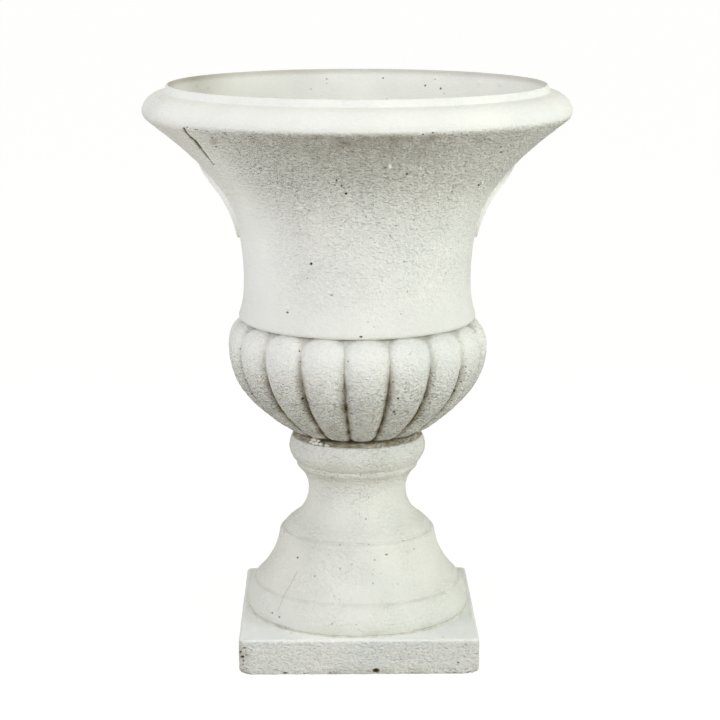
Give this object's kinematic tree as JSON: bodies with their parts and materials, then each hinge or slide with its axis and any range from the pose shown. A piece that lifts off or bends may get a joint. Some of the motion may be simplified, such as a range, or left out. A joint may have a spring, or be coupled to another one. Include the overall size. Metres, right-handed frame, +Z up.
{
  "type": "urn planter",
  "caption": "Tall cast-stone garden urn with a flared bowl, lobed belly and rolled rim, on a turned pedestal and square plinth, for planting in.",
  "frame": {"origin": "centre of the plinth's underside", "axes": "+Z up along the urn's axis, -Y towards the front as pictured, +X to the right"},
  "size_m": [0.4601, 0.4602, 0.62],
  "materials": {
    "bowl_stone": "pale cast stone, fine sandy grain with small air holes",
    "plaque_stone": "pale cast stone, fine sandy grain",
    "pedestal_stone": "pale cast stone, fine sandy grain with small air holes",
    "plinth_stone": "pale cast stone, worn edges",
    "mortar": "coarse pale mortar, squeezed out and crumbly",
    "pipe": "grey plastic pipe",
    "dowel_steel": "plain steel bar"
  },
  "bodies": {
    "root": {"bowl": "bowl_stone", "side_plaque_left": "plaque_stone", "side_plaque_right": "plaque_stone", "bowl_mortar_bed": "mortar", "pedestal": "pedestal_stone", "foot_mortar_bed": "mortar", "plinth": "plinth_stone", "drain_pipe": "pipe", "bowl_dowels": "dowel_steel", "foot_dowels": "dowel_steel"}
  },
  "joints": []
}
